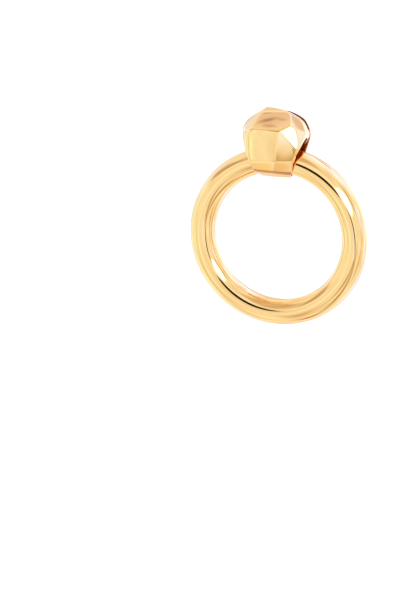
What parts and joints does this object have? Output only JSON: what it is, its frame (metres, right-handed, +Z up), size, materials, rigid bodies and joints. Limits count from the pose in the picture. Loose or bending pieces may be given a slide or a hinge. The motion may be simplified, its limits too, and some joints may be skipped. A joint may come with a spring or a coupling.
{
  "type": "hoop earring with a faceted knob",
  "caption": "Drop earring: a thick round polished gold hoop hangs through a hollow faceted nugget with an ear post behind.",
  "frame": {"origin": "the ear seat: the point of the knob's rear face where the ear post stands out and where the earring hangs on the ear", "axes": "+Z up, -Y the front of the earring, +X to the right as seen from the front; the ear post points along +Y"},
  "size_m": [0.042, 0.0215, 0.0512],
  "materials": {
    "hoop_gold": "mirror polished pale gold plating",
    "knob_gold": "mirror polished pale gold plating",
    "plate_gold": "polished pale gold plating",
    "post_gold": "polished pale gold plating"
  },
  "bodies": {
    "top": {"knob": "knob_gold", "back_plate": "plate_gold", "ear_post": "post_gold"},
    "hoop": {"hoop": "hoop_gold"}
  },
  "joints": [
    {"name": "hoop_swing", "type": "hinge", "parent": "top", "child": "hoop", "pos_m": [0, -0.0045, -0.0065], "axis": [1, 0, 0], "range_deg": [-20, 20]}
  ]
}
